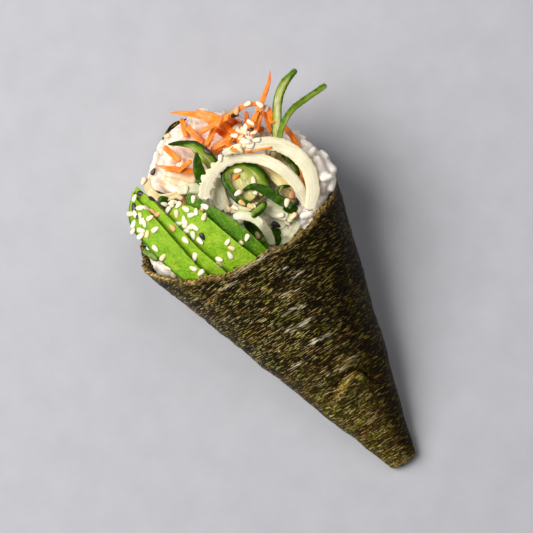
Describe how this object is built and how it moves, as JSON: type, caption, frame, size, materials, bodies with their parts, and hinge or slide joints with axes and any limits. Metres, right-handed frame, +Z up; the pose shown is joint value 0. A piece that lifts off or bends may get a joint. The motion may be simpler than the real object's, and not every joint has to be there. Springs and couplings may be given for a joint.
{
  "type": "temaki hand roll",
  "caption": "Cone of toasted seaweed lying on its side, open at its wide end and filled with sushi rice, fanned avocado, cucumber ribbons, carrot shreds and sesame.",
  "frame": {"origin": "on the table under the middle of the roll's box", "axes": "+Y from the cone's folded tip to its open mouth, +X to the right seen from above with the mouth away, +Z up"},
  "size_m": [0.095, 0.1616, 0.0488],
  "materials": {
    "toasted_nori": "fibrous, satin, dark olive brown",
    "sushi_rice": "moist, slightly translucent white",
    "avocado_flesh": "smooth, buttery, bright green",
    "cucumber_flesh": "wet, pale green with dark green skin",
    "carrot": "moist orange",
    "pickled_ginger": "thin, translucent peach",
    "white_sesame": "toasted, cream to light brown",
    "black_sesame": "dull black"
  },
  "bodies": {
    "root": {"nori_wrap": "toasted_nori", "rice_bed": "sushi_rice", "avocado_slice_01": "avocado_flesh", "avocado_slice_02": "avocado_flesh", "avocado_slice_03": "avocado_flesh", "avocado_slice_04": "avocado_flesh", "cucumber_strip_01": "cucumber_flesh", "cucumber_strip_02": "cucumber_flesh", "cucumber_strip_03": "cucumber_flesh", "cucumber_strip_04": "cucumber_flesh", "cucumber_strip_05": "cucumber_flesh", "cucumber_strip_06": "cucumber_flesh", "cucumber_strip_07": "cucumber_flesh", "cucumber_strip_08": "cucumber_flesh", "cucumber_strip_09": "cucumber_flesh", "cucumber_strip_10": "cucumber_flesh", "cucumber_strip_11": "cucumber_flesh", "cucumber_strip_12": "cucumber_flesh", "cucumber_strip_13": "cucumber_flesh", "cucumber_strip_14": "cucumber_flesh", "cucumber_strip_15": "cucumber_flesh", "cucumber_strip_16": "cucumber_flesh", "cucumber_strip_17": "cucumber_flesh", "cucumber_strip_18": "cucumber_flesh", "cucumber_strip_19": "cucumber_flesh", "cucumber_strip_20": "cucumber_flesh", "cucumber_strip_21": "cucumber_flesh", "cucumber_strip_22": "cucumber_flesh", "cucumber_strip_23": "cucumber_flesh", "carrot_shred_01": "carrot", "carrot_shred_02": "carrot", "carrot_shred_03": "carrot", "carrot_shred_04": "carrot", "carrot_shred_05": "carrot", "carrot_shred_06": "carrot", "carrot_shred_07": "carrot", "carrot_shred_08": "carrot", "carrot_shred_09": "carrot", "carrot_shred_10": "carrot", "carrot_shred_11": "carrot", "carrot_shred_12": "carrot", "carrot_shred_13": "carrot", "carrot_shred_14": "carrot", "carrot_shred_15": "carrot", "carrot_shred_16": "carrot", "carrot_shred_17": "carrot", "carrot_shred_18": "carrot", "ginger_slice_01": "pickled_ginger", "ginger_slice_02": "pickled_ginger"}
  },
  "joints": []
}
